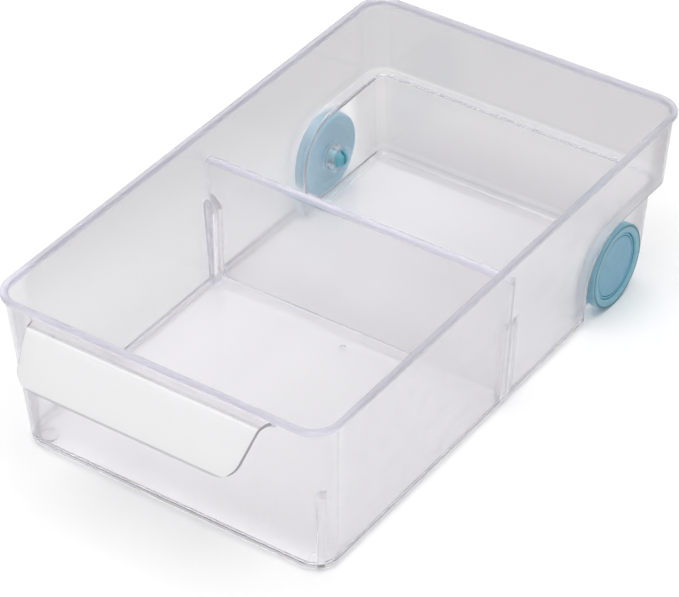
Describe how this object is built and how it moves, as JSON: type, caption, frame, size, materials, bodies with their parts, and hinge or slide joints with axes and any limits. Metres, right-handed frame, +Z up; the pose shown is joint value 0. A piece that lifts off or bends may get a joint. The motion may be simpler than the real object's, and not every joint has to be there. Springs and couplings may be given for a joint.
{
  "type": "fridge organizer bin",
  "caption": "Clear open-top fridge bin with a front pull handle, a lift-out divider across the middle and wheels in wells at the rear corners, so that it rolls out when the handle is lifted.",
  "frame": {"origin": "on the shelf, under the middle of the overall length and width", "axes": "+X to the bin's right, +Y to its back, away from the handle, +Z up"},
  "size_m": [0.2086, 0.3782, 0.1],
  "materials": {
    "tub": "clear, polished, with a faint lavender tint in the thick edges",
    "divider": "clear, polished",
    "hub": "teal moulded plastic, satin",
    "tyre": "soft teal, satin",
    "axle_pin": "grey-blue moulded plastic, satin"
  },
  "bodies": {
    "tub": {"tub": "tub", "left_axle_pin": "axle_pin", "right_axle_pin": "axle_pin"},
    "divider": {"divider": "divider"},
    "left_wheel": {"left_hub": "hub", "left_tyre": "tyre"},
    "right_wheel": {"right_hub": "hub", "right_tyre": "tyre"}
  },
  "joints": [
    {"name": "left_wheel_spin", "type": "hinge", "parent": "tub", "child": "left_wheel", "pos_m": [-0.0965, 0.12627, 0.0252], "axis": [1, 0, 0], "continuous": true},
    {"name": "right_wheel_spin", "type": "hinge", "parent": "tub", "child": "right_wheel", "pos_m": [0.0965, 0.12627, 0.0252], "axis": [1, 0, 0], "continuous": true},
    {"name": "divider_lift", "type": "slide", "parent": "tub", "child": "divider", "axis": [0, 0, 1], "range_m": [0, 0.095]}
  ]
}
